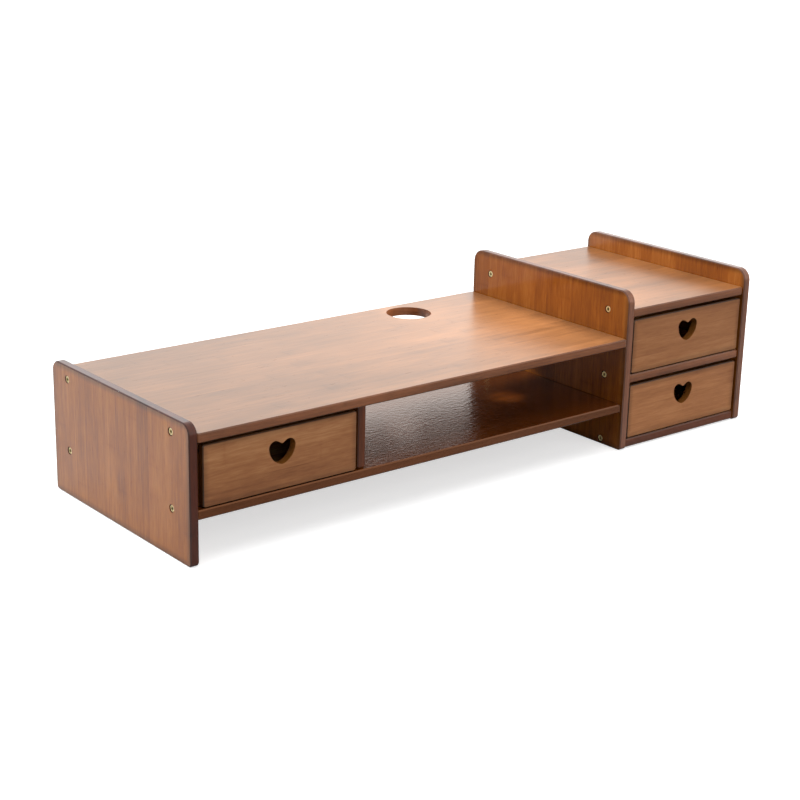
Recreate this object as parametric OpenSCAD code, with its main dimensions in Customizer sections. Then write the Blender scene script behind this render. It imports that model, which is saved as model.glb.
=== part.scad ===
// Two-level laptop stand: a low riser with one drawer and an open compartment,
// joined to a taller tower with two drawers. Bamboo boards, screwed together.
// Front faces -Y, left end at -X, +Z up, origin at the middle of the footprint.

/* [Overall] */
// Overall length, outer face to outer face of the end panels
total_w = 800; // [700:5:1000]
// Depth of the side panels, front to back
depth = 270; // [230:1:330]

/* [Boards] */
// Thickness of the three upright panels
panel_t = 10; // [9:0.5:14]
// Thickness of the boards and shelves
board_t = 10; // [9:0.5:14]
// Thickness of the upright divider beside the left drawer
divider_t = 10; // [9:0.5:14]
// Easing on the edges of panels and boards
edge_ease = 1.2; // [0.4:0.1:2]
// Corner radius of the boards, seen from above
board_corner_r = 2.5; // [2.2:0.1:8]
// Radius of the left panel's top corners
left_top_r = 12; // [4:0.5:20]
// Radius of the two tower panels' top corners
tower_top_r = 14.5; // [4:0.5:25]
// Radius of all three panels' bottom corners
foot_r = 5; // [3:0.5:8]

/* [Levels] */
// Clear height under the lower shelf
under_shelf_h = 47; // [30:1:80]
// Clear height under the tower's bottom board
under_tower_h = 1.5; // [1:0.5:30]
// Clear height of every drawer bay and of the open compartment
bay_h = 69; // [58:1:110]
// Height of the left panel's lip above the main board
left_lip_h = 10; // [5:0.5:30]
// Height of the tower panels' lips above the tower's top board
tower_lip_h = 21.5; // [5:0.5:40]

/* [Set-backs from the panels' front edges] */
// Main top board, front and back
main_setback = 0; // [0:0.5:4]
// Lower shelf and the tower's boards, front and back
shelf_setback = 2; // [0:0.5:6]
// Divider, front and back
divider_setback = 5.5; // [3:0.5:20]
// Drawer fronts
drawer_setback = 2.5; // [0:0.5:10]

/* [Cable hole] */
// Diameter of the cable hole
cable_hole_d = 54; // [20:1:70]
// From the middle panel to the hole's centre
cable_hole_from_panel = 135; // [50:1:200]
// From the main board's back edge to the hole's centre
cable_hole_from_back = 38; // [37:1:80]

/* [Drawers] */
// Width of every drawer
drawer_w = 185; // [150:1:215]
// Gap at each side of the left drawer
left_side_gap = 5.5; // [2:0.1:8]
// Gap at each side of the tower drawers
tower_side_gap = 2.5; // [2:0.1:5]
// How far the left drawer lies to the right of the middle of its bay
left_drawer_shift = 1.3; // [-1.5:0.1:1.5]
// How far the tower drawers lie to the right of the middle of their bays
tower_drawer_shift = 0.2; // [-1.5:0.1:1.5]
// Gap between a drawer front and the board under it
front_gap_low = 1; // [0.5:0.1:2]
// Gap between a drawer front and the board over it
front_gap_high = 3.5; // [1:0.1:6]
// Thickness of the drawer fronts
front_t = 9; // [8:0.5:14]
// Corner radius of the drawer fronts
front_corner_r = 3; // [2:0.5:6]
// Easing on the edges of the drawer fronts
front_ease = 1; // [0.4:0.1:1.5]
// Thickness of the drawer sides and back
side_t = 7; // [6:0.5:10]
// Height of the drawer sides and back
side_h = 55; // [35:1:58]
// Corner radius of the drawer sides and back
side_corner_r = 1.5; // [1:0.1:3]
// Easing on the edges of the drawer sides and back
side_ease = 0.6; // [0.3:0.1:0.9]
// Thickness of the drawer bottom
bottom_t = 3; // [2:0.5:4]
// Depth of the grooves that hold the drawer bottom
groove_depth = 3.5; // [2:0.5:4]
// From the sides' lower edge to the groove
groove_z = 5; // [3:0.5:10]
// Running clearance between the drawer sides and the board under them
slide_gap = 0.3; // [0.2:0.05:0.8]
// Clearance of the drawer bottom in its grooves
bottom_gap = 0.1; // [0.05:0.05:0.3]

/* [Heart finger hole] */
// Width of the heart
heart_w = 31.8; // [29:0.2:36]
// Height of the heart, tip to the top of its lobes
heart_h = 25.7; // [23:0.1:30]
// Radius of its two lobes
lobe_r = 7.3; // [6.5:0.1:7.8]
// Radius of the two flanks that meet at the tip
flank_r = 19.4; // [17:0.2:24]
// Depth of the notch between the lobes
notch_depth = 4; // [2:0.2:6]
// Where the notch's straight side leaves a lobe, in degrees
shoulder_angle = 115; // [105:1:118]
// From the drawer front's upper edge to the top of the lobes
heart_drop = 12.5; // [8:0.1:18]

/* [Drawer stops] */
// Thickness of a stop batten, front to back
stop_t = 8; // [5:0.5:15]
// Height of a stop batten
stop_h = 10; // [6:0.5:20]
// From a shelf's back edge to its stop batten
stop_from_back = 9; // [4:0.5:20]
// Clearance between a closed drawer and its stop
stop_gap = 0.3; // [0.2:0.05:1]
// Clearance at each end of a stop batten
stop_end_gap = 0.3; // [0.2:0.05:1]
// Corner radius of a stop batten, seen from above
stop_corner_r = 1.2; // [0.8:0.1:2.4]
// Easing on the edges of a stop batten
stop_ease = 0.6; // [0.3:0.1:0.7]

/* [Screws] */
// From the panels' front edges to the front screws
screw_from_front = 33.5; // [25:0.5:60]
// From the panels' back edges to the back screws
screw_from_back = 32; // [20:0.5:60]
// Head diameter
head_d = 7.5; // [6:0.1:8]
// Head height
head_h = 3; // [2:0.1:4]
// Easing on the head's outer rim
head_ease = 0.5; // [0.3:0.1:0.8]
// How deep the head sits below the panel's face
head_sink = 0.7; // [0:0.1:1.5]
// Clearance all round the head in its recess
head_gap = 0.5; // [0.2:0.1:1]
// Shank diameter
shank_d = 4.8; // [4:0.1:5.5]
// Length under the head
screw_len = 40; // [25:1:60]
// Hex socket, across its flats
socket_af = 4; // [2.5:0.5:4.5]
// Depth of the hex socket
socket_depth = 2; // [1:0.1:2.5]
// Clearance round the shank
shank_gap = 0.1; // [0.05:0.05:0.3]

/* [Dowels] */
// Diameter of the divider's dowels
divider_dowel_d = 6; // [4:0.5:7]
// From the divider's front and back edges to its dowels
divider_dowel_inset = 40; // [20:1:80]
// How far a dowel enters the divider
dowel_in_divider = 12; // [8:0.5:20]
// How far a dowel enters the board or shelf
dowel_in_board = 6; // [4:0.5:7]
// Diameter of the drawer's dowels
drawer_dowel_d = 4; // [3:0.5:5]
// From the sides' lower edge to the lower dowels
dowel_low = 16; // [13:0.5:22]
// From the sides' upper edge to the upper dowels
dowel_high = 11; // [6:0.5:16]
// How far a dowel enters a drawer front
dowel_in_front = 5; // [3:0.5:6]
// How far a dowel enters the end grain of a side or a back
dowel_in_end = 14; // [8:0.5:20]
// Clearance round a dowel and past its ends
dowel_gap = 0.1; // [0.05:0.05:0.3]

/* [Hidden] */
$fn = 64;

panel_brown = "#8A6450";
board_brown = "#A07A66";
inner_brown = "#7A4A2A";
drawer_brown = "#9B6B47";
dowel_tan = "#C9A26B";
brass = "#B8963E";

cut = 1; // how far a cutter runs past the face that it opens
flank_tuck = 0.05; // how far the heart's flanks keep inside its width, so that they cross the lobes
screw_tip = 4; // length of a screw's pointed end
screw_tip_taper = 3; // how many times thinner it ends
dowel_tip_share = 1 / 8; // a dowel's eased end, as a share of its diameter

// Levels: underside and upper face of every board
shelf_z = under_shelf_h;
shelf_top = shelf_z + board_t;
main_z = shelf_top + bay_h;
main_top = main_z + board_t;
tower_bottom_z = under_tower_h;
tower_bottom_top = tower_bottom_z + board_t;
tower_mid_z = tower_bottom_top + bay_h;
tower_mid_top = tower_mid_z + board_t;
tower_top_z = tower_mid_top + bay_h;
left_h = main_top + left_lip_h;
tower_h = tower_top_z + board_t + tower_lip_h;

// Places along X
tower_bay_w = drawer_w + 2 * tower_side_gap;
left_bay_w = drawer_w + 2 * left_side_gap;
left_x = -total_w / 2;
main_x0 = left_x + panel_t;
right_x = total_w / 2 - panel_t;
tower_x0 = right_x - tower_bay_w;
middle_x = tower_x0 - panel_t;
main_len = middle_x - main_x0;
divider_x = main_x0 + left_bay_w;

// Places along Y
front_y = -depth / 2;
back_y = depth / 2;
screw_ys = [front_y + screw_from_front, back_y - screw_from_back];
divider_len = depth - 2 * divider_setback;
dowel_ys = [front_y + divider_setback + divider_dowel_inset,
            back_y - divider_setback - divider_dowel_inset];
stop_y = back_y - shelf_setback - stop_from_back - stop_t;
drawer_y = front_y + drawer_setback;
drawer_depth = stop_y - stop_gap - drawer_y;

// Drawer
front_h = bay_h - front_gap_low - front_gap_high;
side_y = drawer_y + front_t;
side_len = drawer_depth - front_t;
box_back_y = drawer_y + drawer_depth - side_t;
inner_w = drawer_w - 2 * side_t;
dowel_levels = [dowel_low, side_h - dowel_high];
left_drawer_x = main_x0 + left_side_gap + left_drawer_shift;
tower_drawer_x = tower_x0 + tower_side_gap + tower_drawer_shift;

// Which boards each row of screws holds, by the middle of their thickness
riser_levels = [shelf_z + board_t / 2, main_z + board_t / 2];
tower_levels = [tower_bottom_z, tower_mid_z, tower_top_z] + [1, 1, 1] * (board_t / 2);

// ---- shapes -------------------------------------------------------------

// A quarter of a round corner, thickness along Z, with eased edges
module eased_corner(r, t, ease) {
    rotate_extrude(angle = 90)
        polygon([[0, 0], [r - ease, 0], [r, ease], [r, t - ease], [r - ease, t], [0, t]]);
}

// The cross-section of a slab w wide and t thick with eased edges
module eased_section(w, t, ease) {
    polygon([[ease, 0], [w - ease, 0], [w, ease], [w, t - ease],
             [w - ease, t], [ease, t], [0, t - ease], [0, ease]]);
}

// A slab from the origin, size[0] by size[1] and t thick. radii are those of its
// corners at [0, 0], [x, 0], [x, y] and [0, y]
module slab(size, t, radii, ease) {
    w = size[0];
    d = size[1];
    places = [[0, 0], [w, 0], [w, d], [0, d]];
    inward = [[1, 1], [-1, 1], [-1, -1], [1, -1]];
    difference() {
        intersection() {
            translate([0, d, 0]) rotate([90, 0, 0])
                linear_extrude(d) eased_section(w, t, ease);
            rotate([90, 0, 90])
                linear_extrude(w) eased_section(d, t, ease);
        }
        for (i = [0:3])
            translate([places[i][0], places[i][1], -cut]) rotate(90 * i)
                translate([-cut, -cut, 0])
                    cube([radii[i] + cut, radii[i] + cut, t + 2 * cut]);
    }
    for (i = [0:3])
        translate([places[i][0] + inward[i][0] * radii[i],
                   places[i][1] + inward[i][1] * radii[i], 0])
            rotate(180 + 90 * i) eased_corner(radii[i], t, ease);
}

// A slab that stands across X, its outline in Y and Z
module upright(size, t, radii, ease) {
    rotate([90, 0, 90]) slab(size, t, radii, ease);
}

// A slab that stands across Y, its outline in X and Z
module facing(size, t, radii, ease) {
    translate([0, t, 0]) rotate([90, 0, 0]) slab(size, t, radii, ease);
}

// A flat board with its four corners alike
module board(len, setback, z) {
    translate([0, front_y + setback, z])
        slab([len, depth - 2 * setback], board_t, [1, 1, 1, 1] * board_corner_r, edge_ease);
}

// ---- fasteners ----------------------------------------------------------

// A screw along +X: the head's outer face is at the origin
module screw() {
    difference() {
        union() {
            rotate([0, 90, 0])
                cylinder(h = head_ease, d1 = head_d - 2 * head_ease, d2 = head_d);
            translate([head_ease, 0, 0]) rotate([0, 90, 0])
                cylinder(h = head_h - head_ease, d = head_d);
        }
        translate([-cut, 0, 0]) rotate([0, 90, 0])
            cylinder(h = socket_depth + cut, d = socket_af / cos(30), $fn = 6);
    }
    translate([head_h, 0, 0]) rotate([0, 90, 0])
        cylinder(h = screw_len - screw_tip, d = shank_d);
    translate([head_h + screw_len - screw_tip, 0, 0]) rotate([0, 90, 0])
        cylinder(h = screw_tip, d1 = shank_d, d2 = shank_d / screw_tip_taper);
}

// The recess, clearance hole and pilot hole that a screw along +X needs.
// The panel's face is at the origin
module screw_hole() {
    translate([-cut, 0, 0]) rotate([0, 90, 0])
        cylinder(h = head_sink + head_h + cut, d = head_d + 2 * head_gap);
    rotate([0, 90, 0])
        cylinder(h = head_sink + head_h + screw_len + cut, d = shank_d + 2 * shank_gap);
}

// Repeats what follows at both depths and at each of the given levels.
// dir is the way the screw points: 1 along +X, -1 along -X
module at_screws(face_x, levels, dir) {
    for (y = screw_ys, z = levels)
        translate([face_x, y, z]) rotate([0, 0, dir > 0 ? 0 : 180])
            children();
}

module screw_row(face_x, levels, dir) {
    at_screws(face_x, levels, dir)
        translate([head_sink, 0, 0]) screw();
}

// A dowel along +Z with its ends eased
module dowel(d, len) {
    tip = d * dowel_tip_share;
    cylinder(h = tip, d1 = d - 2 * tip, d2 = d);
    translate([0, 0, tip]) cylinder(h = len - 2 * tip, d = d);
    translate([0, 0, len - tip]) cylinder(h = tip, d1 = d, d2 = d - 2 * tip);
}

// The four dowels of the divider, or with gap > 0 the holes for them
module divider_dowel_set(gap) {
    len = dowel_in_divider + dowel_in_board;
    for (y = dowel_ys, z = [shelf_top - dowel_in_board, main_z - dowel_in_divider])
        translate([divider_x + divider_t / 2, y, z - gap])
            if (gap > 0) cylinder(h = len + 2 * gap, d = divider_dowel_d + 2 * gap);
            else dowel(divider_dowel_d, len);
}

// ---- frame --------------------------------------------------------------

module left_side_panel() {
    color(panel_brown) difference() {
        translate([left_x, front_y, 0])
            upright([depth, left_h], panel_t, [foot_r, foot_r, left_top_r, left_top_r], edge_ease);
        at_screws(left_x, riser_levels, 1) screw_hole();
    }
}

module tower_panel(x) {
    translate([x, front_y, 0])
        upright([depth, tower_h], panel_t, [foot_r, foot_r, tower_top_r, tower_top_r], edge_ease);
}

module middle_side_panel() {
    color(panel_brown) difference() {
        tower_panel(middle_x);
        at_screws(middle_x, tower_levels, 1) screw_hole();
        at_screws(tower_x0, riser_levels, -1) screw_hole();
    }
}

module right_side_panel() {
    color(panel_brown) difference() {
        tower_panel(right_x);
        at_screws(right_x + panel_t, tower_levels, -1) screw_hole();
    }
}

module riser_board(setback, z) {
    translate([main_x0, 0, 0]) board(main_len, setback, z);
}

module main_top_board() {
    color(board_brown) difference() {
        riser_board(main_setback, main_z);
        at_screws(left_x, riser_levels, 1) screw_hole();
        at_screws(tower_x0, riser_levels, -1) screw_hole();
        divider_dowel_set(dowel_gap);
        translate([middle_x - cable_hole_from_panel,
                   back_y - main_setback - cable_hole_from_back, main_z - cut])
            cylinder(h = board_t + 2 * cut, d = cable_hole_d);
    }
}

module main_lower_shelf() {
    color(board_brown) difference() {
        riser_board(shelf_setback, shelf_z);
        at_screws(left_x, riser_levels, 1) screw_hole();
        at_screws(tower_x0, riser_levels, -1) screw_hole();
        divider_dowel_set(dowel_gap);
    }
}

module drawer_divider() {
    color(panel_brown) difference() {
        translate([divider_x, front_y + divider_setback, shelf_top])
            upright([divider_len, bay_h], divider_t, [1, 1, 1, 1] * board_corner_r, edge_ease);
        divider_dowel_set(dowel_gap);
    }
}

module tower_board(z) {
    color(board_brown) difference() {
        translate([tower_x0, 0, 0]) board(tower_bay_w, shelf_setback, z);
        at_screws(middle_x, tower_levels, 1) screw_hole();
        at_screws(right_x + panel_t, tower_levels, -1) screw_hole();
    }
}

module tower_top_board() { tower_board(tower_top_z); }
module tower_mid_shelf() { tower_board(tower_mid_z); }
module tower_bottom_board() { tower_board(tower_bottom_z); }

module divider_dowels() { color(dowel_tan) divider_dowel_set(0); }
module left_panel_screws() { color(brass) screw_row(left_x, riser_levels, 1); }
module middle_panel_screws() { color(brass) screw_row(middle_x, tower_levels, 1); }
module middle_panel_inner_screws() { color(brass) screw_row(tower_x0, riser_levels, -1); }
module right_panel_screws() { color(brass) screw_row(right_x + panel_t, tower_levels, -1); }

// A batten that stops a drawer, on the board whose upper face is at z
module drawer_stop(x, bay_w, z) {
    color(inner_brown) translate([x + stop_end_gap, stop_y, z])
        slab([bay_w - 2 * stop_end_gap, stop_t], stop_h, [1, 1, 1, 1] * stop_corner_r, stop_ease);
}

module left_drawer_stop() { drawer_stop(main_x0, left_bay_w, shelf_top); }
module upper_drawer_stop() { drawer_stop(tower_x0, tower_bay_w, tower_mid_top); }
module lower_drawer_stop() { drawer_stop(tower_x0, tower_bay_w, tower_bottom_top); }

// ---- drawers ------------------------------------------------------------
// Every drawer piece is drawn for a drawer whose left end is at x = 0 and whose
// board's upper face is at z = 0. Y is already that of the closed drawer.

// A heart with its tip at the origin: two round lobes over the part that two
// larger circles share, with the notch between them filled to its own depth
module heart() {
    lobe = [heart_w / 2 - lobe_r, heart_h - lobe_r];
    flank_x = heart_w / 2 - flank_tuck - flank_r;
    flank_y = sqrt(flank_r * flank_r - flank_x * flank_x);
    shoulder = lobe + lobe_r * [cos(shoulder_angle), sin(shoulder_angle)];
    for (side = [-1, 1]) translate([side * lobe[0], lobe[1]]) circle(lobe_r);
    intersection() {
        translate([flank_x, flank_y]) circle(flank_r);
        translate([-flank_x, flank_y]) circle(flank_r);
        translate([-heart_w, -cut]) square([2 * heart_w, lobe[1] + cut]);
    }
    polygon([[-lobe[0], lobe[1]], lobe, shoulder,
             [0, heart_h - notch_depth], [-shoulder[0], shoulder[1]]]);
}

// The bottom board's space in the sides, front and back
module drawer_bottom_solid(gap) {
    translate([side_t - groove_depth - gap, side_y - groove_depth - gap,
               slide_gap + groove_z - gap])
        cube([inner_w + 2 * (groove_depth + gap),
              box_back_y - side_y + 2 * (groove_depth + gap), bottom_t + 2 * gap]);
}

// The eight dowels: from the sides into the front, and through the sides into the back
module drawer_dowel_set(gap) {
    for (side = [0, 1], level = dowel_levels) {
        z = slide_gap + level;
        translate([side_t / 2 + side * (drawer_w - side_t), side_y - dowel_in_front - gap, z])
            rotate([-90, 0, 0]) hidden_dowel(dowel_in_front + dowel_in_end, gap);
        translate([side * drawer_w, box_back_y + side_t / 2, z])
            rotate([0, side == 0 ? 90 : -90, 0]) through_dowel(gap);
    }
}

// A dowel that is hidden at both ends, or with gap > 0 the hole for it
module hidden_dowel(len, gap) {
    if (gap > 0) cylinder(h = len + 2 * gap, d = drawer_dowel_d + 2 * gap);
    else dowel(drawer_dowel_d, len);
}

// A dowel that shows on the outside of a side, or with gap > 0 the hole for it
module through_dowel(gap) {
    len = side_t + dowel_in_end;
    if (gap > 0) translate([0, 0, -cut])
        cylinder(h = len + cut + gap, d = drawer_dowel_d + 2 * gap);
    else dowel(drawer_dowel_d, len);
}

module drawer_front() {
    r = [1, 1, 1, 1] * front_corner_r;
    color(drawer_brown) difference() {
        translate([0, drawer_y, front_gap_low])
            facing([drawer_w, front_h], front_t, r, front_ease);
        translate([drawer_w / 2, drawer_y + front_t + cut,
                   front_gap_low + front_h - heart_drop - heart_h])
            rotate([90, 0, 0]) linear_extrude(front_t + 2 * cut) heart();
        drawer_bottom_solid(bottom_gap);
        drawer_dowel_set(dowel_gap);
    }
}

// side is 0 for the left side and 1 for the right one
module drawer_side(side) {
    color(inner_brown) difference() {
        translate([side * (drawer_w - side_t), side_y, slide_gap])
            upright([side_len, side_h], side_t, [1, 1, 1, 1] * side_corner_r, side_ease);
        drawer_bottom_solid(bottom_gap);
        drawer_dowel_set(dowel_gap);
    }
}

module drawer_back() {
    color(inner_brown) difference() {
        translate([side_t, box_back_y, slide_gap])
            facing([inner_w, side_h], side_t, [1, 1, 1, 1] * side_corner_r, side_ease);
        drawer_bottom_solid(bottom_gap);
        drawer_dowel_set(dowel_gap);
    }
}

module drawer_bottom() { color(dowel_tan) drawer_bottom_solid(0); }
module drawer_dowels() { color(dowel_tan) drawer_dowel_set(0); }

module in_left_bay() { translate([left_drawer_x, 0, shelf_top]) children(); }
module in_upper_bay() { translate([tower_drawer_x, 0, tower_mid_top]) children(); }
module in_lower_bay() { translate([tower_drawer_x, 0, tower_bottom_top]) children(); }

// ---- what is drawn ------------------------------------------------------

left_side_panel();
middle_side_panel();
right_side_panel();
main_top_board();
main_lower_shelf();
drawer_divider();
tower_top_board();
tower_mid_shelf();
tower_bottom_board();
divider_dowels();
left_panel_screws();
middle_panel_screws();
middle_panel_inner_screws();
right_panel_screws();
left_drawer_stop();
upper_drawer_stop();
lower_drawer_stop();
in_left_bay() drawer_front();  // left_drawer_front
in_left_bay() drawer_side(0);  // left_drawer_left_side
in_left_bay() drawer_side(1);  // left_drawer_right_side
in_left_bay() drawer_back();  // left_drawer_back
in_left_bay() drawer_bottom();  // left_drawer_bottom
in_left_bay() drawer_dowels();  // left_drawer_dowels
in_upper_bay() drawer_front();  // upper_drawer_front
in_upper_bay() drawer_side(0);  // upper_drawer_left_side
in_upper_bay() drawer_side(1);  // upper_drawer_right_side
in_upper_bay() drawer_back();  // upper_drawer_back
in_upper_bay() drawer_bottom();  // upper_drawer_bottom
in_upper_bay() drawer_dowels();  // upper_drawer_dowels
in_lower_bay() drawer_front();  // lower_drawer_front
in_lower_bay() drawer_side(0);  // lower_drawer_left_side
in_lower_bay() drawer_side(1);  // lower_drawer_right_side
in_lower_bay() drawer_back();  // lower_drawer_back
in_lower_bay() drawer_bottom();  // lower_drawer_bottom
in_lower_bay() drawer_dowels();  // lower_drawer_dowels
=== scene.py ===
import math

import bpy
from bpy.props import FloatProperty, FloatVectorProperty, PointerProperty
from mathutils import Matrix, Vector


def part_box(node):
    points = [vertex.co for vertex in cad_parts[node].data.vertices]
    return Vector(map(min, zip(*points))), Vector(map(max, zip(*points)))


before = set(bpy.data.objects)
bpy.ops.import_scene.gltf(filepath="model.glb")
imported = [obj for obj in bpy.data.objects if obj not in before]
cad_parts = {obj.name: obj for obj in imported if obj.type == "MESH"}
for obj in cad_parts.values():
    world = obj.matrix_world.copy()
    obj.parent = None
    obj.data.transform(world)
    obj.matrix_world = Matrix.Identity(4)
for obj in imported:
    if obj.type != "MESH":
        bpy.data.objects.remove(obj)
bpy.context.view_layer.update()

bl_info = {
    "name": "Bamboo laptop stand",
    "version": (1, 0, 0),
    "blender": (4, 5, 0),
    "location": "View3D > Sidebar > Laptop stand",
    "description": "Finishes a bamboo laptop stand's boards, drawers and fasteners and lights it",
    "category": "Object",
}

DRAWERS = ("left", "upper", "lower")
MM = 0.001
WOOD_IOR = 1.5               # also the lacquer's

# The pattern of pressed bamboo, in millimetres, apart from the shifts, which are in strips
PATTERN = "pressed_bamboo_strips"
LAYER_SHIFT = 0.37           # of each layer against the one under it
SEED_SHIFT = 7.13            # of each piece against the last
JOINT_REACH = 0.6            # how far a joint's dust reaches into a strip
KNUCKLE_WAVER = 4.0          # of the line across a strip
LINE_FULL, LINE_GONE = 0.3, 2.4
STAIN_AHEAD, STAIN_BEHIND = 34.0, 9.0
GRAIN_DEPTH = 0.02           # of the fibres' relief, also in beech
# The darkening near a piece's outline is darker stain there together with painted shade of the gaps
# and corners round the piece
RIM_REACH = 9.5              # how far the darker stain reaches in from a piece's outline
RIM_FULL = 0.5               # where it is darkest

# Where the deep, usual and pale browns stand in the tones of the pattern
BROWN_TONES = (0.12, 0.5, 0.88)

# How squarely a surface looks along the board's own direction: 1 on its face, 0 on its edge
EDGE_ENDS, FACE_BEGINS = 0.8, 0.97
ARRIS_FROM, ARRIS_FULL, ARRIS_THINS = 0.15, 0.45, 0.85
# How much darker the arris line is: partly stain, partly painted shade
ARRIS_STAIN_AND_SHADE = 0.35

# The same along the grain, where the ends of the fibres begin to drink and drink the most
DRINKS_FROM, DRINKS_FULL = 0.3, 0.85

# Sizes of the other patterns, in millimetres
BEECH_FLECK = 0.9
ZINC_CLOUD = 2.5
# Painted shade in the screws' hex sockets begins at the first depth and is fullest at the second
SOCKET_SHADE_FROM, SOCKET_SHADE_FULL = 0.9, 1.8      # depth in the screws' sockets

# The camera that was fitted to the photograph: place in metres, and yaw, pitch and roll in degrees
PHOTO_SIDE_PX = 800
FOCAL_PX = 1719.349
SENSOR_MM = 36.0
CAMERA_PLACE = (-1.213062, -1.446043, 0.670428)
CAMERA_TURN = (39.185, 17.886, 1.356)

# The way the window's light falls, the middle of the cable hole that some of it falls through,
# and how far behind the hole the beam stands, in metres
WINDOW_WAY = (0.27, -0.84, -0.47)
HOLE_MIDDLE = (0.055, 0.097, 0.131)
BEAM_THROW = 0.8


def linear(hex_colour):
    """The linear colour of an sRGB hex value, as Blender's sockets take it."""
    channels = [int(hex_colour[i:i + 2], 16) / 255 for i in (1, 3, 5)]
    return tuple(c / 12.92 if c <= 0.04045 else ((c + 0.055) / 1.055) ** 2.4 for c in channels)


def scaled(colour, *shares):
    """The colour times one share, or each of its channels times its own."""
    shares = shares if len(shares) == 3 else shares * 3
    return [channel * share for channel, share in zip(colour, shares)]


def add_node(tree, kind, inputs=None, **settings):
    """Adds a node with its settings. An input may be a number, a colour, a socket or a node.
    Map Range takes as 0 to 4 its value, the range it comes from and the range it goes to, and
    Mix takes as 6 and 7 its colours."""
    made = tree.nodes.new(kind)
    for name, value in settings.items():
        setattr(made, name, value)
    for key, value in (inputs or {}).items():
        if isinstance(value, bpy.types.Node):
            value = value.outputs[0]
        if isinstance(value, bpy.types.NodeSocket):
            tree.links.new(value, made.inputs[key])
        else:
            made.inputs[key].default_value = value
    return made


def empty_tree(owner):
    """Gives a material or a world a node tree with nothing in it."""
    owner.use_nodes = True
    owner.node_tree.nodes.clear()
    return owner.node_tree


# ---- settings ----------------------------------------------------------------

class BambooSettings(bpy.types.PropertyGroup):
    strip_width: FloatProperty(
        name="Strip width", description="Width of one pressed bamboo strip, in millimetres",
        default=21.0, min=5.0, max=40.0)
    layer: FloatProperty(
        name="Layer", description="Thickness of one layer of strips, in millimetres",
        default=5.0, min=2.0, max=12.0)
    knuckle_spacing: FloatProperty(
        name="Knuckle spacing", description="Distance between a stem's knuckles, in millimetres",
        default=240.0, min=80.0, max=400.0)
    fibre_spacing: FloatProperty(
        name="Fibre spacing", description="Spacing of the fibre bundles, in millimetres",
        default=1.8, min=0.4, max=4.0)
    deep: FloatVectorProperty(
        name="Carbonised, deep", description="Darkest brown of the steamed strips",
        subtype="COLOR", default=linear("#7F4113"))
    warm: FloatVectorProperty(
        name="Carbonised, warm", description="Usual brown of the steamed strips",
        subtype="COLOR", default=linear("#A65E1A"))
    pale: FloatVectorProperty(
        name="Carbonised, pale", description="Palest brown of the steamed strips",
        subtype="COLOR", default=linear("#C27931"))
    dark_edge: FloatVectorProperty(
        name="Edge stain, dark",
        description="Brown of the left panel's edges, which drink the most stain",
        subtype="COLOR", default=linear("#4B2010"))
    edge: FloatVectorProperty(
        name="Edge stain",
        description="Brown of the edges of the divider, the lower shelf and the tower's bottom",
        subtype="COLOR", default=linear("#582B13"))
    grey_edge: FloatVectorProperty(
        name="Edge stain, grey", description="Brown of the edges of the tower's two panels",
        subtype="COLOR", default=linear("#7A4E39"))
    pale_edge: FloatVectorProperty(
        name="Edge stain, pale",
        description="Brown of the edges of the main board, the tower's top and its middle shelf",
        subtype="COLOR", default=linear("#7E4D30"))
    board: FloatVectorProperty(
        name="Boards",
        description="Usual brown of the level boards, whose faces are sanded the most",
        subtype="COLOR", default=linear("#835531"))
    # The lower shelf's brown is partly its darker stain and partly painted shade of the compartment
    # under the main board
    shelf: FloatVectorProperty(
        name="Lower shelf",
        description="Usual brown of the lower shelf, which is stained the darkest",
        subtype="COLOR", default=linear("#4E2507"))


class DrawerSettings(bpy.types.PropertyGroup):
    deep: FloatVectorProperty(
        name="Front, deep", description="Darkest brown of the drawer fronts",
        subtype="COLOR", default=linear("#885534"))
    warm: FloatVectorProperty(
        name="Front, warm", description="Usual brown of the drawer fronts",
        subtype="COLOR", default=linear("#A76F46"))
    pale: FloatVectorProperty(
        name="Front, pale", description="Palest brown of the drawer fronts",
        subtype="COLOR", default=linear("#C1895B"))
    edge: FloatVectorProperty(
        name="Front, cut edge",
        description="Brown of the cut edges, which show the ends of the fibres",
        subtype="COLOR", default=linear("#7A4A1C"))
    inside: FloatVectorProperty(
        name="Box", description="Usual brown of the drawer boxes",
        subtype="COLOR", default=linear("#A87445"))
    bottom: FloatVectorProperty(
        name="Bottom", description="Usual colour of the thin bottom board",
        subtype="COLOR", default=linear("#C89D6A"))
    bottom_pale: FloatVectorProperty(
        name="Bottom, pale", description="Palest colour of the thin bottom board",
        subtype="COLOR", default=linear("#DDB480"))


class MetalSettings(bpy.types.PropertyGroup):
    zinc: FloatVectorProperty(
        name="Yellow zinc", description="Colour of the plated screws",
        subtype="COLOR", default=linear("#FDECB6"))
    roughness: FloatProperty(
        name="Roughness", description="Roughness of the plating",
        subtype="FACTOR", default=0.4, min=0.0, max=1.0)


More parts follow.
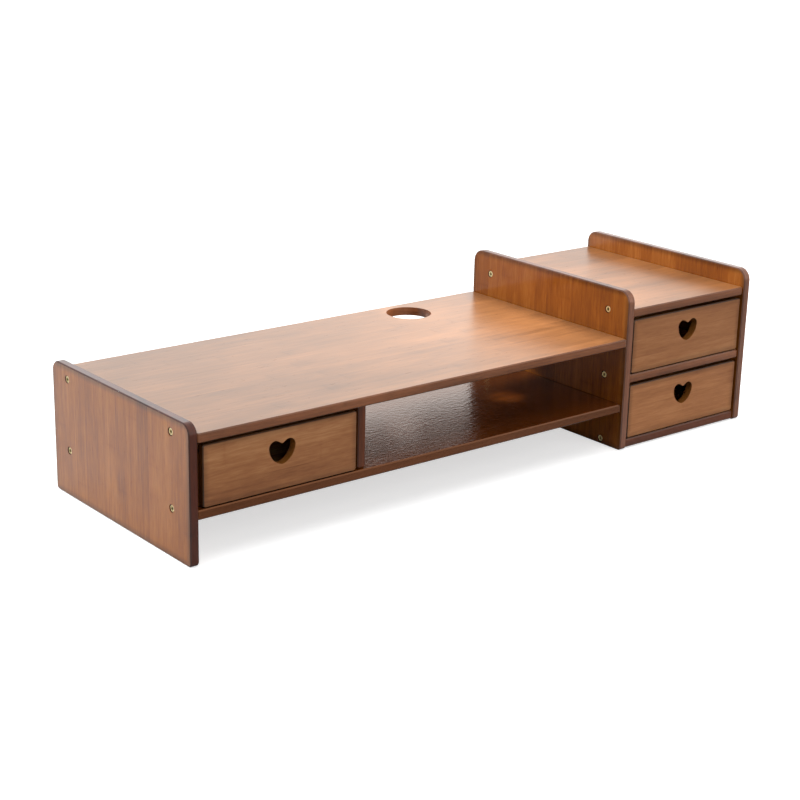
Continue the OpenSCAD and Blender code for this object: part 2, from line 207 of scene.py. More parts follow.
class StageSettings(bpy.types.PropertyGroup):
    floor: FloatVectorProperty(
        name="Floor", description="Colour of the pale floor",
        subtype="COLOR", default=linear("#D0D0D0"))
    near_floor: FloatVectorProperty(
        name="Near floor", description="Colour of the floor in front, as the lacquer mirrors it",
        subtype="COLOR", default=linear("#808080"))
    floor_bounce: FloatVectorProperty(
        name="Floor bounce", description="How much light the floor throws back up on the object",
        subtype="COLOR", default=linear("#6A6A6A"))
    lift: FloatProperty(
        name="Lift",
        description="Light added to the floor for the camera: it is white outside the shadow",
        default=0.6, min=0.0, max=1.0)
    horizon: FloatProperty(
        name="Horizon", description="Strength of the even light near the horizon",
        default=0.0, min=0.0, max=3.0)
    sky: FloatProperty(
        name="Sky", description="Strength of the even light from above",
        default=0.1, min=0.0, max=3.0)
    overhead: FloatProperty(
        name="Overhead", description="Strength of the soft light from above",
        default=2.3, min=0.0, max=6.0)
    window: FloatProperty(
        name="Window", description="Strength of the light from behind",
        default=4.0, min=0.0, max=6.0)
    right_fill: FloatProperty(
        name="Right fill", description="Strength of the soft light from the right",
        default=1.5, min=0.0, max=6.0)
    front_fill: FloatProperty(
        name="Front fill", description="Strength of the soft light from the front",
        default=1.8, min=0.0, max=6.0)
    softbox: FloatProperty(
        name="Softbox", description="Power of the lamp over the tower, in watts",
        default=0.6, min=0.0, max=40.0)
    daylight: FloatVectorProperty(
        name="Daylight", description="Colour of the panel behind that the lacquer mirrors",
        subtype="COLOR", default=linear("#E5FBFF"))
    beam: FloatProperty(
        name="Beam", description="Power of the window light aimed through the cable hole, in watts",
        default=62.0, min=0.0, max=300.0)
    glare: FloatProperty(
        name="Glare", description="Power of the panel behind that the lacquer mirrors, in watts",
        default=6.1, min=0.0, max=60.0)


# ---- bamboo ------------------------------------------------------------------

def strip_pattern(look):
    """The pattern of board pressed from bamboo strips. Place is in millimetres:
    x along the grain, y across the strips and z through the layers."""
    tree = bpy.data.node_groups.new(PATTERN, "ShaderNodeTree")
    for name, kind in (("Place", "NodeSocketVector"), ("Seed", "NodeSocketFloat")):
        tree.interface.new_socket(name, in_out="INPUT", socket_type=kind)
    for name in ("Tone", "Fibre", "Relief"):
        tree.interface.new_socket(name, in_out="OUTPUT", socket_type="NodeSocketFloat")
    given = add_node(tree, "NodeGroupInput")
    place, seed = given.outputs["Place"], given.outputs["Seed"]
    along, across, through = add_node(tree, "ShaderNodeSeparateXYZ", {0: place}).outputs

    # Which strip, and how far across it. Layers don't line up with each other
    layer = add_node(tree, "ShaderNodeMath", {0: through, 1: look.layer}, operation="DIVIDE")
    layer = add_node(tree, "ShaderNodeMath", {0: layer}, operation="FLOOR")
    strips = add_node(tree, "ShaderNodeMath", {0: across, 1: look.strip_width}, operation="DIVIDE")
    for shifting, shift in ((layer, LAYER_SHIFT), (seed, SEED_SHIFT)):
        strips = add_node(tree, "ShaderNodeMath", {0: shifting, 1: shift, 2: strips},
                          operation="MULTIPLY_ADD")
    strip = add_node(tree, "ShaderNodeMath", {0: strips}, operation="FLOOR")
    within = add_node(tree, "ShaderNodeMath", {0: strips}, operation="FRACT")
    which = add_node(tree, "ShaderNodeCombineXYZ", {0: strip, 1: layer, 2: seed})
    chance = add_node(tree, "ShaderNodeTexWhiteNoise", {0: which}, noise_dimensions="3D")
    chance = add_node(tree, "ShaderNodeSeparateColor", {0: chance.outputs["Color"]})
    tone_chance, knuckle_chance, shade_chance = chance.outputs

    # Joint: a hairline of glue and dust where two strips meet
    middle = add_node(tree, "ShaderNodeMath", {0: within, 1: 0.5}, operation="SUBTRACT")
    middle = add_node(tree, "ShaderNodeMath", {0: middle}, operation="ABSOLUTE")
    joint_from = 0.5 - JOINT_REACH / look.strip_width
    joint = add_node(tree, "ShaderNodeMapRange", {0: middle, 1: joint_from, 2: 0.5, 3: 0.0, 4: 1.0})

    # Noise drawn out along the grain, each with its length, width and detail. Real fibre bundles
    # are 0.5 mm apart, and these are as coarse as they need to be to show
    noises = {}
    for name, length, width, detail in (("fibre", 15.0, look.fibre_spacing, 2.0),
                                        ("vein", 170.0, 3.6, 2.0),
                                        ("streak", 230.0, 15.0, 2.0),
                                        ("figure", 60.0, 9.0, 3.0),
                                        ("cloud", 130.0, 55.0, 2.0),
                                        ("ragged", 5.0, 1.8, 1.0)):
        at = add_node(tree, "ShaderNodeVectorMath",
                      {0: place, 1: (1 / length, 1 / width, 1 / width)}, operation="MULTIPLY")
        if name != "cloud":      # Clouds run on from strip to strip
            at = add_node(tree, "ShaderNodeVectorMath", {0: at, 1: which}, operation="ADD")
        noises[name] = add_node(tree, "ShaderNodeTexNoise",
                                {"Vector": at, "Scale": 1.0, "Detail": detail, "Roughness": 0.55})

    # Knuckle: a thin dark line across the strip. away is how far off it is, along the grain
    spacing = look.knuckle_spacing
    start = add_node(tree, "ShaderNodeMath", {0: knuckle_chance, 1: spacing, 2: along},
                     operation="MULTIPLY_ADD")
    start = add_node(tree, "ShaderNodeMath", {0: noises["ragged"], 1: KNUCKLE_WAVER, 2: start},
                     operation="MULTIPLY_ADD")
    turns = add_node(tree, "ShaderNodeMath", {0: start, 1: spacing}, operation="DIVIDE")
    turns = add_node(tree, "ShaderNodeMath", {0: turns}, operation="FRACT")
    away = add_node(tree, "ShaderNodeMath", {0: turns, 1: 0.5}, operation="SUBTRACT")
    away = add_node(tree, "ShaderNodeMath", {0: away, 1: spacing}, operation="MULTIPLY")
    gap = add_node(tree, "ShaderNodeMath", {0: away}, operation="ABSOLUTE")

    # The line, and the parts of its stain, which fades along the strip and towards the joints
    line, ahead, behind, inner = (
        add_node(tree, "ShaderNodeMapRange", dict(enumerate(fade)), interpolation_type="SMOOTHSTEP")
        for fade in ((gap, LINE_FULL, LINE_GONE, 1.0, 0.0), (away, 0.0, STAIN_AHEAD, 1.0, 0.0),
                     (away, -STAIN_BEHIND, 0.0, 0.0, 1.0), (middle, 0.3, 0.5, 1.0, 0.0)))
    stain = ahead
    for share in (behind, shade_chance, inner):
        stain = add_node(tree, "ShaderNodeMath", {0: stain, 1: share}, operation="MULTIPLY")

    # Tone: 0.5 is the usual brown. Each share says how much a part of the pattern moves it, and
    # the last number is the part's own middle
    tone = 0.5
    for part, share, rest in ((tone_chance, 0.3, 0.5), (noises["streak"], 0.35, 0.5),
                              (noises["vein"], 0.55, 0.5), (noises["figure"], 0.7, 0.5),
                              (noises["fibre"], 0.6, 0.5), (noises["cloud"], 0.8, 0.5),
                              (stain, -0.2, 0.0), (line, -0.06, 0.0), (joint, -0.04, 0.0)):
        tone = add_node(tree, "ShaderNodeMath", {0: part, 1: share, 2: tone},
                        operation="MULTIPLY_ADD")
        tone = add_node(tree, "ShaderNodeMath", {0: tone, 1: rest * share}, operation="SUBTRACT")

    # Relief: a knuckle stands a little proud and a joint lies a little low
    relief = noises["fibre"]
    for part, height in ((line, 0.8), (joint, -0.8)):
        relief = add_node(tree, "ShaderNodeMath", {0: part, 1: height, 2: relief},
                          operation="MULTIPLY_ADD")
    add_node(tree, "NodeGroupOutput", {"Tone": tone, "Fibre": noises["fibre"], "Relief": relief})
    return tree


def outline_mask(tree, parts, order, corner, far_corner):
    """1 along the outline of a piece's face and 0 well inside it. parts are the place's x, y and z
    in millimetres, and order says which of them run along the grain and across the strips."""
    outline = 0.0
    for axis in order[:2]:
        half = (far_corner[axis] - corner[axis]) / 2 / MM
        off_centre = add_node(tree, "ShaderNodeMath", {0: parts[axis], 1: half},
                              operation="SUBTRACT")
        off_centre = add_node(tree, "ShaderNodeMath", {0: off_centre}, operation="ABSOLUTE")
        near_end = add_node(tree, "ShaderNodeMapRange", {0: off_centre, 1: half - RIM_REACH,
                                                         2: half - RIM_FULL, 3: 0.0, 4: 1.0},
                            interpolation_type="SMOOTHERSTEP")
        outline = add_node(tree, "ShaderNodeMath", {0: near_end, 1: outline}, operation="MAXIMUM")
    return outline


def bamboo(name, piece, seed, axes, tones, edge, roughness=0.3, gloss=1.0, film=0.25,
           edge_gloss=0.7, contrast=1.0, rim_stain_and_shade=0.0, edge_rim_stain_and_shade=0.0, end_grain=0.0, peel_pitch=5.0,
           peel_depth=0.05, under=(0.1, "#FFFFFF", WOOD_IOR)):
    """Steamed bamboo strips pressed into board, sanded and lacquered. The eye sees straight
    strips of slightly different browns with stained knuckles, under a clear film that is smooth
    but not flat, so reflections are soft and a little mottled. axes names, as letters, the
    piece's direction along the grain, across the strips and through the layers. tones are the
    deep, usual and pale browns, and edge the brown of its edges. gloss and edge_gloss are the
    film's weight on the faces and the edges, and film its roughness. The two rim settings say how
    much darker the piece is near its outline, on its faces and on its edges: darker stain there,
    together with painted shade of the gaps and corners round the piece. end_grain says how much
    of both stain and film the cut ends of the fibres drink. peel_pitch and peel_depth are the
    size of the film's orange peel, in millimetres. under holds the specular level, tint and IOR
    of the sealer under the film."""
    material = bpy.data.materials.new(name)
    tree = empty_tree(material)
    corner, far_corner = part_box(piece)
    order = ["xyz".index(axis) for axis in axes]
    coordinates = add_node(tree, "ShaderNodeTexCoord")
    place = add_node(tree, "ShaderNodeVectorMath", {0: coordinates.outputs["Object"], 1: corner},
                     operation="SUBTRACT")
    place = add_node(tree, "ShaderNodeVectorMath", {0: place, "Scale": 1 / MM}, operation="SCALE")
    parts = add_node(tree, "ShaderNodeSeparateXYZ", {0: place}).outputs
    place = add_node(tree, "ShaderNodeCombineXYZ", {i: parts[axis] for i, axis in enumerate(order)})
    pattern = bpy.data.node_groups.get(PATTERN) or strip_pattern(bpy.context.scene.stand_bamboo)
    strips = add_node(tree, "ShaderNodeGroup", {"Place": place, "Seed": seed}, node_tree=pattern)

    # Where the surface turns off the board's face, and where it cuts across the grain
    normal = add_node(tree, "ShaderNodeSeparateXYZ", {0: coordinates.outputs["Normal"]}).outputs
    facing, cut = (add_node(tree, "ShaderNodeMath", {0: normal[axis]}, operation="ABSOLUTE")
                   for axis in (order[2], order[0]))
    turned = add_node(tree, "ShaderNodeMapRange",
                      {0: facing, 1: EDGE_ENDS, 2: FACE_BEGINS, 3: 1.0, 4: 0.0})
    thirst = add_node(tree, "ShaderNodeMapRange",
                      {0: cut, 1: DRINKS_FROM, 2: DRINKS_FULL, 3: 1.0, 4: 1.0 - end_grain})

    # Faces: three browns by tone. Edges: one brown, lighter and darker with the same tone
    tone = add_node(tree, "ShaderNodeMath",
                    {0: strips.outputs["Tone"], 1: contrast, 2: 0.5 - contrast / 2},
                    operation="MULTIPLY_ADD")
    browns = add_node(tree, "ShaderNodeValToRGB", {0: tone})
    stops = browns.color_ramp.elements
    stops.new(0.5)
    for stop, position, colour in zip(stops, BROWN_TONES, tones):
        stop.position = position
        stop.color = (*colour, 1.0)
    edge_tone = add_node(tree, "ShaderNodeMapRange",
                         {0: strips.outputs["Tone"], 1: 0.1, 2: 0.9, 3: 0.55, 4: 1.45})
    edge_brown = add_node(tree, "ShaderNodeVectorMath", {0: edge, "Scale": edge_tone},
                          operation="SCALE")

    # Outline and cut ends: darker. The cut ends drink more stain. Near the outline it is darker
    # stain together with painted shade of the gaps and corners round the piece
    outline = outline_mask(tree, parts, order, corner, far_corner)
    face_stain_and_shade, edge_stain_and_shade = (add_node(tree, "ShaderNodeMath", {0: outline, 1: -darker, 2: 1.0},
                                   operation="MULTIPLY_ADD") for darker in (rim_stain_and_shade, edge_rim_stain_and_shade))
    edge_stain_and_shade = add_node(tree, "ShaderNodeMath", {0: edge_stain_and_shade, 1: thirst}, operation="MULTIPLY")
    face_brown, edge_brown = (
        add_node(tree, "ShaderNodeVectorMath", {0: brown, "Scale": share}, operation="SCALE")
        for brown, share in ((browns, face_stain_and_shade), (edge_brown, edge_stain_and_shade)))
    colour = add_node(tree, "ShaderNodeMix", {0: turned, 6: face_brown, 7: edge_brown},
                      data_type="RGBA")

    # Arris: a fine dark line where a face turns into an edge, partly stain gathered there and
    # partly painted shade of the turn and of the gap beside it
    rising = add_node(tree, "ShaderNodeMapRange",
                      {0: facing, 1: ARRIS_FROM, 2: ARRIS_FULL, 3: 0.0, 4: 1.0})
    falling = add_node(tree, "ShaderNodeMapRange",
                       {0: facing, 1: ARRIS_THINS, 2: FACE_BEGINS, 3: 1.0, 4: 0.0})
    arris = add_node(tree, "ShaderNodeMath", {0: rising, 1: falling}, operation="MULTIPLY")
    arris = add_node(tree, "ShaderNodeMath", {0: arris, 1: -ARRIS_STAIN_AND_SHADE, 2: 1.0},
                     operation="MULTIPLY_ADD")
    colour = add_node(tree, "ShaderNodeVectorMath", {0: colour.outputs[2], "Scale": arris},
                      operation="SCALE")

    # Wood under the film: faint relief of the fibres. Film: broad, shallow orange peel
    rough = add_node(tree, "ShaderNodeMath",
                     {0: strips.outputs["Fibre"], 1: 0.12, 2: roughness - 0.06},
                     operation="MULTIPLY_ADD")
    grain = add_node(tree, "ShaderNodeBump", {"Strength": 1.0, "Distance": GRAIN_DEPTH * MM,
                                              "Height": strips.outputs["Relief"]})
    drawn_out = add_node(tree, "ShaderNodeVectorMath", {0: place, 1: (0.5, 1.0, 1.0)},
                         operation="MULTIPLY")
    peel = add_node(tree, "ShaderNodeTexNoise", {"Vector": drawn_out, "Scale": 1 / peel_pitch,
                                                 "Detail": 2.5, "Roughness": 0.55})
    skin = add_node(tree, "ShaderNodeBump", {"Strength": 1.0, "Distance": peel_depth * MM,
                                             "Height": peel, "Normal": grain})
    coat = add_node(tree, "ShaderNodeMapRange",
                    {0: turned, 1: 0.0, 2: 1.0, 3: gloss, 4: edge_gloss})
    coat = add_node(tree, "ShaderNodeMath", {0: coat, 1: thirst}, operation="MULTIPLY")
    level, tint, ior = under
    shader = add_node(tree, "ShaderNodeBsdfPrincipled",
                      {"Base Color": colour, "Roughness": rough, "IOR": ior, "Normal": skin,
                       "Specular IOR Level": level, "Specular Tint": (*linear(tint), 1.0),
                       "Coat Weight": coat, "Coat Roughness": film, "Coat IOR": WOOD_IOR,
                       "Coat Normal": skin})
    add_node(tree, "ShaderNodeOutputMaterial", {0: shader})
    return material


def dress(piece, material):
    """Gives a CAD piece its material."""
    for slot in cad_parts[piece].material_slots:
        slot.material = material


class StandOperator:
    """What every step has in common: it can be undone."""
    bl_options = {"REGISTER", "UNDO"}


class STAND_OT_panels(StandOperator, bpy.types.Operator):
    """Finish the three side panels and the divider: strips upright, edges stained darker"""
    bl_idname = "stand.panels"
    bl_label = "Side panels and divider"

    def execute(self, context):
        look = context.scene.stand_bamboo
        # Piece, brown of its edges, batch of strips (1 is the usual brown), and film
        pieces = (("left_side_panel", look.dark_edge, 1.0,
                   {"gloss": 1.0, "edge_gloss": 0.85, "film": 0.2}),
                  ("middle_side_panel", look.grey_edge, 0.87,
                   {"gloss": 0.4, "edge_gloss": 1.0, "film": 0.12, "end_grain": 0.55}),
                  ("right_side_panel", look.grey_edge, 0.98,
                   {"gloss": 0.8, "edge_gloss": 1.0, "film": 0.2, "end_grain": 0.2}),
                  ("drawer_divider", look.edge, 0.9,
                   {"gloss": 0.8, "edge_gloss": 0.7, "film": 0.2}))
        for seed, (piece, edge, batch, film) in enumerate(pieces):
            tones = [scaled(tone, batch) for tone in (look.deep, look.warm, look.pale)]
            # Faces darker near their outline: darker stain, with painted shade of the gaps and
            # corners there
            dress(piece, bamboo("carbonised_bamboo_upright." + piece, piece, 3.0 + seed, "zyx",
                                tones, edge, contrast=0.8, rim_stain_and_shade=0.5, **film))
        return {"FINISHED"}


class STAND_OT_boards(StandOperator, bpy.types.Operator):
    """Finish the boards and shelves: strips along their length, the lower shelf wet and glossy"""
    bl_idname = "stand.boards"
    bl_label = "Boards and shelves"

    def execute(self, context):
        look = context.scene.stand_bamboo
        # The lower shelf has a thinner film, over a sealer that shines strongly and warmly
        satin = {"edge_gloss": 0.9, "film": 0.32, "contrast": 0.78}
        mirror = {"roughness": 0.18, "gloss": 0.46, "edge_gloss": 0.35, "film": 0.15,
                  "peel_pitch": 3.0, "peel_depth": 0.27, "under": (1.0, "#FFA058", 1.7)}
        # Piece, usual brown of its faces, brown of its edges, and film
        pieces = (("main_top_board", scaled(look.board, 0.97, 1.03, 1.12), look.pale_edge,
                   {**satin, "gloss": 0.93}),
                  # The lower shelf's darker brown is partly stain and partly painted shade of the
                  # compartment it lies in
                  ("main_lower_shelf", look.shelf, scaled(look.edge, 0.5), mirror),
                  ("tower_top_board", scaled(look.board, 1.04, 1.06, 1.06), look.pale_edge,
                   {**satin, "gloss": 0.66}),
                  ("tower_mid_shelf", look.board, look.pale_edge, satin),
                  ("tower_bottom_board", look.board, look.edge, satin))
        for seed, (piece, brown, edge, film) in enumerate(pieces):
            tones = [scaled(brown, share) for share in (0.6, 1.0, 1.45)]
            dress(piece, bamboo("carbonised_bamboo_board." + piece, piece, 11.0 + seed, "xyz",
                                tones, edge, **film))
        return {"FINISHED"}


class STAND_OT_drawer_fronts(StandOperator, bpy.types.Operator):
    """Finish the drawer fronts: a lighter brown, strips level, a duller film"""
    bl_idname = "stand.drawer_fronts"
    bl_label = "Drawer fronts"

    def execute(self, context):
        look = context.scene.stand_drawers
        # Batch of strips (1 is the usual brown), and how much the strips differ
        batches = ((0.8, 0.9), (0.9, 0.65), (1.03, 0.65))
        for seed, (drawer, (batch, contrast)) in enumerate(zip(DRAWERS, batches)):
            piece = drawer + "_drawer_front"
            tones = [scaled(tone, batch) for tone in (look.deep, look.warm, look.pale)]
            # Fronts darker near their outline and on their edges: mostly painted shade of the gaps
            # round the drawers, with some darker stain
            dress(piece, bamboo("carbonised_bamboo_front." + piece, piece, 23.0 + seed, "xzy",
                                tones, look.edge, roughness=0.5, gloss=0.5, film=0.35,
                                contrast=contrast, rim_stain_and_shade=0.3, edge_rim_stain_and_shade=0.68))
        return {"FINISHED"}


class STAND_OT_drawer_boxes(StandOperator, bpy.types.Operator):
    """Finish the drawer sides, backs and stop battens: sanded smooth, thin satin film"""
    bl_idname = "stand.drawer_boxes"
    bl_label = "Drawer boxes and stops"

    def execute(self, context):
        look = context.scene.stand_drawers
        tones = (look.deep, look.inside, look.pale)
        parts = (("left_side", "yzx"), ("right_side", "yzx"), ("back", "xzy"), ("stop", "xyz"))
        for batch, drawer in enumerate(DRAWERS):
            for part, axes in parts:
                piece = drawer + "_drawer_" + part
                seed = 31.0 + 5 * batch + len(part)
                dress(piece, bamboo("carbonised_bamboo_box." + piece, piece, seed, axes, tones,
                                    look.edge, roughness=0.55, gloss=0.2, film=0.4))
        return {"FINISHED"}


class STAND_OT_drawer_bottoms(StandOperator, bpy.types.Operator):
    """Finish the thin drawer bottoms: pale ply"""
    bl_idname = "stand.drawer_bottoms"
    bl_label = "Drawer bottoms"

    def execute(self, context):
        look = context.scene.stand_drawers
        tones = (look.inside, look.bottom, look.bottom_pale)
        for seed, drawer in enumerate(DRAWERS):
            piece = drawer + "_drawer_bottom"
            dress(piece, bamboo("bamboo_ply." + piece, piece, 61.0 + seed, "xyz", tones,
                                look.inside, roughness=0.6, gloss=0.05, film=0.45))
        return {"FINISHED"}


# ---- fasteners ---------------------------------------------------------------

def beech():
    """Turned beech dowel, sanded flush: pale tan, with the fine darker speckle of beech's ends,
    which are all that shows of a dowel."""
    material = bpy.data.materials.new("turned_beech")
    tree = empty_tree(material)
    place = add_node(tree, "ShaderNodeTexCoord")
    fleck = add_node(tree, "ShaderNodeTexNoise", {"Vector": place.outputs["Object"],
                                                  "Scale": 1 / (BEECH_FLECK * MM), "Detail": 2.0})
    wood = add_node(tree, "ShaderNodeValToRGB", {0: fleck})
    stops = wood.color_ramp.elements
    for stop, position, colour in zip(stops, (0.35, 0.65), ("#A87B4E", "#CFA878")):
        stop.position = position
        stop.color = (*linear(colour), 1.0)
    bump = add_node(tree, "ShaderNodeBump", {"Strength": 1.0, "Distance": GRAIN_DEPTH * MM,
                                             "Height": fleck})
    shader = add_node(tree, "ShaderNodeBsdfPrincipled",
                      {"Base Color": wood, "Roughness": 0.6, "IOR": WOOD_IOR, "Normal": bump})
    add_node(tree, "ShaderNodeOutputMaterial", {0: shader})
    return material


class STAND_OT_dowels(StandOperator, bpy.types.Operator):
    """Finish the dowels, whose ends show on the drawer sides"""
    bl_idname = "stand.dowels"
    bl_label = "Dowels"

    def execute(self, context):
        wood = beech()
        for piece in ("divider_dowels", *(drawer + "_drawer_dowels" for drawer in DRAWERS)):
            dress(piece, wood)
        return {"FINISHED"}


def yellow_zinc(piece, head_x):
    """Turned steel, yellow zinc plated: a pale straw-coloured metal, cloudy from the dip and
    a little duller in patches. head_x is the place of the heads' faces: the hex sockets behind
    it are darkened with painted shade."""
    look = bpy.context.scene.stand_metal
    material = bpy.data.materials.new("yellow_zinc_plated_steel." + piece)
    tree = empty_tree(material)
    place = add_node(tree, "ShaderNodeTexCoord").outputs["Object"]
    cloud = add_node(tree, "ShaderNodeTexNoise",
                     {"Vector": place, "Scale": 1 / (ZINC_CLOUD * MM), "Detail": 3.0})
    plate = add_node(tree, "ShaderNodeMix", {0: cloud, 6: (*scaled(look.zinc, 0.88), 1.0),
                                             7: (*look.zinc, 1.0)}, data_type="RGBA")
    depth = add_node(tree, "ShaderNodeSeparateXYZ", {0: place})
    depth = add_node(tree, "ShaderNodeMath", {0: depth, 1: head_x}, operation="SUBTRACT")
    depth = add_node(tree, "ShaderNodeMath", {0: depth}, operation="ABSOLUTE")
    # Painted shade: the deeper in the hex socket, the darker the plating
    socket_unshaded = add_node(tree, "ShaderNodeMapRange",
                        {0: depth, 1: SOCKET_SHADE_FROM * MM, 2: SOCKET_SHADE_FULL * MM, 3: 1.0, 4: 0.3})
    colour = add_node(tree, "ShaderNodeVectorMath", {0: plate.outputs[2], "Scale": socket_unshaded},
                      operation="SCALE")
    rough = add_node(tree, "ShaderNodeMath", {0: cloud, 1: 0.2, 2: look.roughness - 0.1},
                     operation="MULTIPLY_ADD")
    shader = add_node(tree, "ShaderNodeBsdfPrincipled",
                      {"Base Color": colour, "Metallic": 1.0, "Roughness": rough})
    add_node(tree, "ShaderNodeOutputMaterial", {0: shader})
    return material


class STAND_OT_screws(StandOperator, bpy.types.Operator):
    """Finish the socket-head screws that hold the boards"""
    bl_idname = "stand.screws"
    bl_label = "Screws"

    def execute(self, context):
        # Each row of screws with the end of its box, along X, where its heads are
        for piece, end in (("left_panel_screws", 0), ("middle_panel_screws", 0),
                           ("middle_panel_inner_screws", 1), ("right_panel_screws", 1)):
            dress(piece, yellow_zinc(piece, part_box(piece)[end][0]))
        return {"FINISHED"}


# ---- stage -------------------------------------------------------------------

def photo_camera():
    """The camera that fits the photograph."""
    yaw, pitch, roll = (math.radians(turn) for turn in CAMERA_TURN)
    ahead = Vector((math.sin(yaw) * math.cos(pitch), math.cos(yaw) * math.cos(pitch),
                    -math.sin(pitch)))
    right = Vector((math.cos(yaw), -math.sin(yaw), 0.0))
    up = right.cross(ahead)
    right, up = (right * math.cos(roll) + up * math.sin(roll),
                 up * math.cos(roll) - right * math.sin(roll))
    camera = bpy.data.objects.new("photo_camera", bpy.data.cameras.new("photo_camera"))
    camera.data.sensor_width = SENSOR_MM
    camera.data.lens = SENSOR_MM * FOCAL_PX / PHOTO_SIDE_PX
    camera.data.clip_end = 100.0
    turn = Matrix((right, up, -ahead)).transposed().to_4x4()
    camera.matrix_world = Matrix.Translation(CAMERA_PLACE) @ turn
    return camera


def matt_board(look):
    """Matt white board: even and dull. The camera sees it lifted to white outside the object's
    soft shadow, the lacquer mirrors its near part darker, and it throws back little light."""
    material = bpy.data.materials.new("matt_white_board")
    tree = empty_tree(material)
    ray = add_node(tree, "ShaderNodeLightPath").outputs
    place = add_node(tree, "ShaderNodeTexCoord")
    place = add_node(tree, "ShaderNodeSeparateXYZ", {0: place.outputs["Object"]})
    far = add_node(tree, "ShaderNodeMapRange",
                   {0: place.outputs["Y"], 1: -0.5, 2: 0.2, 3: 0.0, 4: 1.0},
                   interpolation_type="SMOOTHSTEP")
    plain, near, bounce = (
        (*tone, 1.0) for tone in (look.floor, look.near_floor, look.floor_bounce))
    mirrored = add_node(tree, "ShaderNodeMix", {0: far, 6: near, 7: plain}, data_type="RGBA")
    shown = add_node(tree, "ShaderNodeMix", {0: ray["Is Glossy Ray"], 6: plain,
                                             7: mirrored.outputs[2]}, data_type="RGBA")
    thrown = add_node(tree, "ShaderNodeMix", {0: ray["Is Diffuse Ray"], 6: shown.outputs[2],
                                              7: bounce}, data_type="RGBA")
    lift = add_node(tree, "ShaderNodeMath", {0: ray["Is Camera Ray"], 1: look.lift},
                    operation="MULTIPLY")
    board = add_node(tree, "ShaderNodeBsdfDiffuse", {"Color": thrown.outputs[2]})
    glow = add_node(tree, "ShaderNodeEmission", {"Color": (1, 1, 1, 1), "Strength": lift})
    both = add_node(tree, "ShaderNodeAddShader", {0: board, 1: glow})
    add_node(tree, "ShaderNodeOutputMaterial", {0: both})
    return material


def even_world(look):
    """A world that is plain white to the eye and in gloss, and an even light on the object."""
    world = bpy.data.worlds.new("even_light")
    tree = empty_tree(world)
    ray = add_node(tree, "ShaderNodeLightPath").outputs
    seen = ray["Is Camera Ray"]
    for kind in ("Is Glossy Ray", "Is Transmission Ray"):
        seen = add_node(tree, "ShaderNodeMath", {0: seen, 1: ray[kind]}, operation="MAXIMUM")
    direction = add_node(tree, "ShaderNodeTexCoord")
    direction = add_node(tree, "ShaderNodeSeparateXYZ", {0: direction.outputs["Generated"]})
    light = add_node(tree, "ShaderNodeMapRange",
                     {0: direction.outputs["Z"], 1: 0.0, 2: 0.7, 3: look.horizon, 4: look.sky},
                     interpolation_type="SMOOTHSTEP")
    strength = add_node(tree, "ShaderNodeMix", {0: seen, 2: light, 3: 1.0})
    sky = add_node(tree, "ShaderNodeBackground", {"Color": (1, 1, 1, 1), "Strength": strength})
    add_node(tree, "ShaderNodeOutputWorld", {0: sky})
    return world


def add_lamp(scene, name, kind, power, towards, place=(0.0, 0.0, 0.0), glossy=False, **settings):
    """Adds a lamp that shines towards a direction. glossy says whether the lacquer mirrors it."""
    light = bpy.data.lights.new(name, kind)
    light.energy = power
    for setting, value in settings.items():
        setattr(light, setting, value)
    lamp = bpy.data.objects.new(name, light)
    lamp.location = place
    lamp.rotation_euler = Vector(towards).to_track_quat("-Z", "Y").to_euler()
    lamp.visible_glossy = glossy
    scene.collection.objects.link(lamp)
    return lamp


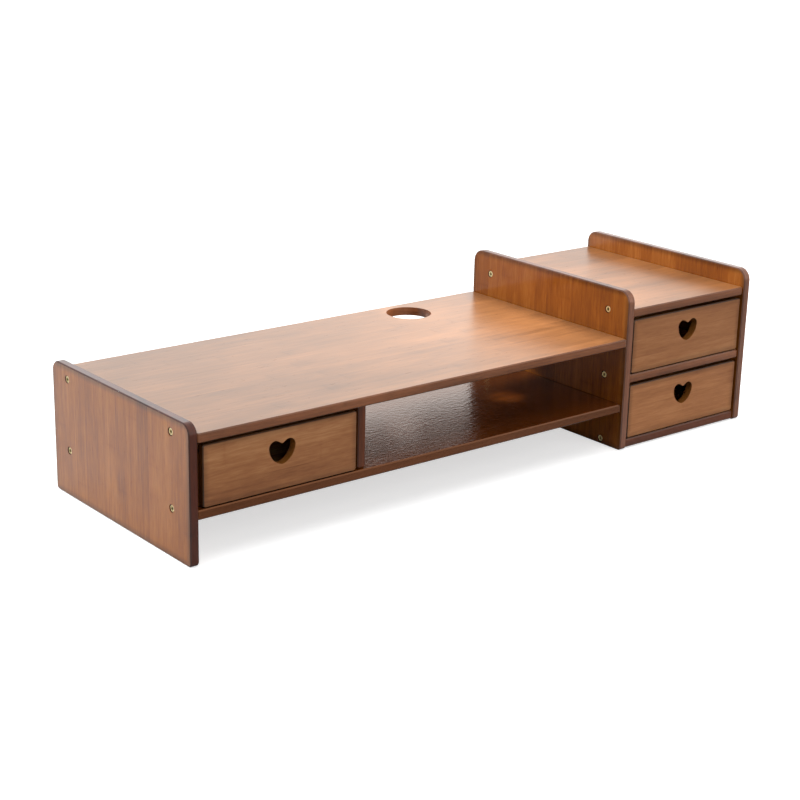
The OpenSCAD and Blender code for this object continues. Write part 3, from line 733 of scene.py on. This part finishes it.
class STAND_OT_stage(StandOperator, bpy.types.Operator):
    """Set the pale floor, the even light, the soft lamps and the photograph's camera"""
    bl_idname = "stand.stage"
    bl_label = "Stage"

    def execute(self, context):
        look = context.scene.stand_stage
        scene = context.scene
        camera = photo_camera()
        scene.collection.objects.link(camera)
        scene.camera = camera
        scene.view_settings.view_transform = "Standard"
        scene.world = even_world(look)

        # Floor: a hair below the feet
        half = 20.0
        mesh = bpy.data.meshes.new("floor")
        corners = [(-half, -half, 0), (half, -half, 0), (half, half, 0), (-half, half, 0)]
        mesh.from_pydata(corners, [], [(0, 1, 2, 3)])
        mesh.materials.append(matt_board(look))
        floor = bpy.data.objects.new("floor", mesh)
        floor.location.z = -0.2 * MM
        scene.collection.objects.link(floor)

        # Broad soft lamps, and a smaller one behind, whose light falls through the cable hole
        for name, strength, spread, towards in (
                ("overhead", look.overhead, 60.0, (0.2, 0.1, -1.0)),
                ("window", look.window, 6.0, WINDOW_WAY),
                ("right_fill", look.right_fill, 60.0, (-1.0, 0.0, -0.25)),
                ("front_fill", look.front_fill, 60.0, (0.0, 1.0, -0.35))):
            add_lamp(scene, name, "SUN", strength, towards, angle=math.radians(spread))

        # More of the window's light, aimed through the cable hole so that its spot shows below
        add_lamp(scene, "beam", "SPOT", look.beam, WINDOW_WAY,
                 Vector(HOLE_MIDDLE) - BEAM_THROW * Vector(WINDOW_WAY),
                 spot_size=math.radians(2.6), spot_blend=0.8, shadow_soft_size=0.01)

        # A lamp over the tower, and a panel behind that shows only in the lacquer
        for name, power, width, height, place, target, spread, colour in (
                ("softbox", look.softbox, 0.25, 0.25, (0.26, 0.0, 0.52), (0.08, 0.0, 0.136), 60.0,
                 (1.0, 1.0, 1.0)),
                ("glare", look.glare, 3.0, 1.6, (1.55, 2.39, 1.06), (0.0, 0.0, 0.13), 180.0,
                 look.daylight)):
            mirrored = name == "glare"
            lamp = add_lamp(scene, name, "AREA", power, Vector(target) - Vector(place), place,
                            mirrored, shape="RECTANGLE", size=width, size_y=height,
                            color=colour, spread=math.radians(spread))
            lamp.visible_camera = False
            lamp.visible_diffuse = not mirrored
        return {"FINISHED"}


# ---- add-on ------------------------------------------------------------------

OPERATORS = (STAND_OT_panels, STAND_OT_boards, STAND_OT_drawer_fronts, STAND_OT_drawer_boxes,
             STAND_OT_drawer_bottoms, STAND_OT_dowels, STAND_OT_screws, STAND_OT_stage)
SETTINGS = {"stand_bamboo": BambooSettings, "stand_drawers": DrawerSettings,
            "stand_metal": MetalSettings, "stand_stage": StageSettings}


class STAND_PT_sidebar(bpy.types.Panel):
    """Lists the settings and the steps that finish the stand"""
    bl_label = "Laptop stand"
    bl_idname = "STAND_PT_sidebar"
    bl_space_type = "VIEW_3D"
    bl_region_type = "UI"
    bl_category = "Laptop stand"

    def draw(self, context):
        for name, settings in SETTINGS.items():
            box = self.layout.box()
            for prop in settings.__annotations__:
                box.prop(getattr(context.scene, name), prop)
        for operator in OPERATORS:
            self.layout.operator(operator.bl_idname)


def register():
    for name, settings in SETTINGS.items():
        bpy.utils.register_class(settings)
        setattr(bpy.types.Scene, name, PointerProperty(type=settings))
    for operator in (*OPERATORS, STAND_PT_sidebar):
        bpy.utils.register_class(operator)


def unregister():
    for operator in (STAND_PT_sidebar, *reversed(OPERATORS)):
        bpy.utils.unregister_class(operator)
    for name, settings in SETTINGS.items():
        delattr(bpy.types.Scene, name)
        bpy.utils.unregister_class(settings)


def main():
    register()
    for step in ("panels", "boards", "drawer_fronts", "drawer_boxes", "drawer_bottoms", "dowels",
                 "screws", "stage"):
        getattr(bpy.ops.stand, step)()


if __name__ == "__main__":
    main()
